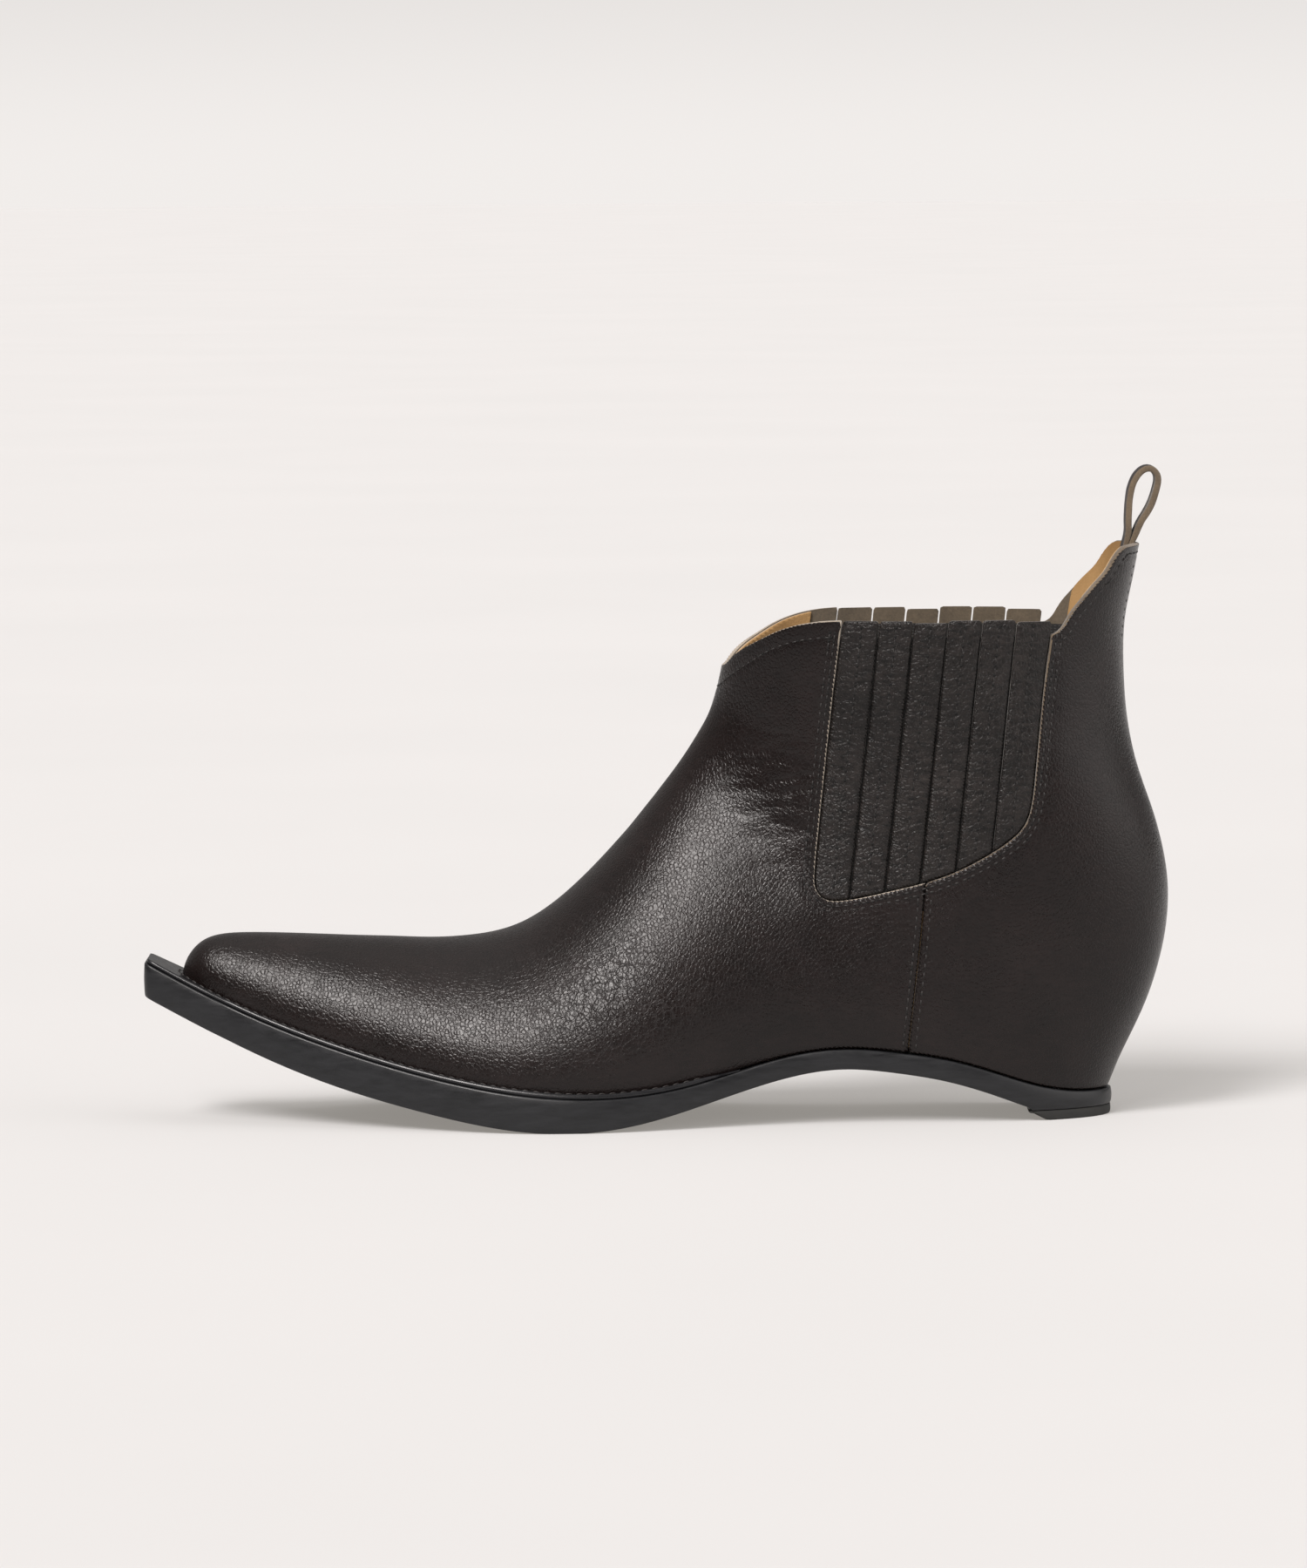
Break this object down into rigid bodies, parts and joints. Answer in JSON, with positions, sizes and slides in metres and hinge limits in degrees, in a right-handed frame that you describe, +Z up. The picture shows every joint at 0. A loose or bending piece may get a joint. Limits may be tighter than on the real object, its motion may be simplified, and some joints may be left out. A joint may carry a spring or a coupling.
{
  "type": "cowboy boot",
  "caption": "Pull-on western ankle boot with pointed squared toe, curved arched sole, strip-covered elastic side gores and a leather pull loop at the back.",
  "frame": {"origin": "middle of the heel foot's tread face, on the ground", "axes": "+Z up; the toe points to -X and the heel to +X; the outer (lateral) side of this left boot is -Y, the inner side +Y"},
  "size_m": [0.306, 0.0918, 0.1945],
  "materials": {
    "upper_leather": "smooth full-grain calf, waxed, broad soft gloss",
    "strip_leather": "wrinkled grain leather, lower gloss",
    "tab_leather": "undyed raw edges, dark grain face",
    "lining_leather": "tan vegetable-tanned lining",
    "sock_leather": "tan vegetable-tanned lining",
    "welt_leather": "black edge-dressed",
    "sole_rubber": "black, fine satin edge",
    "lift_rubber": "black, matt",
    "seam_tape": "tan tape",
    "elastic_web": "black elastic web",
    "stiffener": "resin-stiffened cloth",
    "fibre_board": "pressed cellulose board",
    "cork": "agglomerated cork",
    "foam": "open-cell foam",
    "steel": "spring steel",
    "thread": "black waxed thread"
  },
  "bodies": {
    "boot": {"outsole": "sole_rubber", "heel_top_lift": "lift_rubber", "welt": "welt_leather", "insole_board": "fibre_board", "cork_filler": "cork", "shank": "steel", "shank_rivet_1": "steel", "shank_rivet_2": "steel", "heel_wedge": "cork", "heel_pad": "foam", "sock_liner": "sock_leather", "heel_nail_1": "steel", "heel_nail_2": "steel", "heel_nail_3": "steel", "heel_nail_4": "steel", "heel_nail_5": "steel", "vamp": "upper_leather", "quarter": "upper_leather", "vamp_lining": "lining_leather", "quarter_lining": "lining_leather", "toe_puff": "stiffener", "heel_counter": "stiffener", "seam_tape_lateral": "seam_tape", "seam_tape_medial": "seam_tape", "gore_elastic_lateral": "elastic_web", "gore_elastic_medial": "elastic_web", "gore_strip_lateral_1": "strip_leather", "gore_strip_lateral_2": "strip_leather", "gore_strip_lateral_3": "strip_leather", "gore_strip_lateral_4": "strip_leather", "gore_strip_lateral_5": "strip_leather", "gore_strip_lateral_6": "strip_leather", "gore_strip_medial_1": "strip_leather", "gore_strip_medial_2": "strip_leather", "gore_strip_medial_3": "strip_leather", "gore_strip_medial_4": "strip_leather", "gore_strip_medial_5": "strip_leather", "gore_strip_medial_6": "strip_leather", "pull_tab_tail": "tab_leather"},
    "pull_tab": {"pull_tab_loop": "tab_leather"}
  },
  "joints": [
    {"name": "pull_tab_hinge", "type": "hinge", "parent": "boot", "child": "pull_tab", "pos_m": [0.0198, 0, 0.1726], "axis": [0, 1, 0], "range_deg": [-60, 60], "stiffness_Nm_per_rad": 0.015}
  ]
}
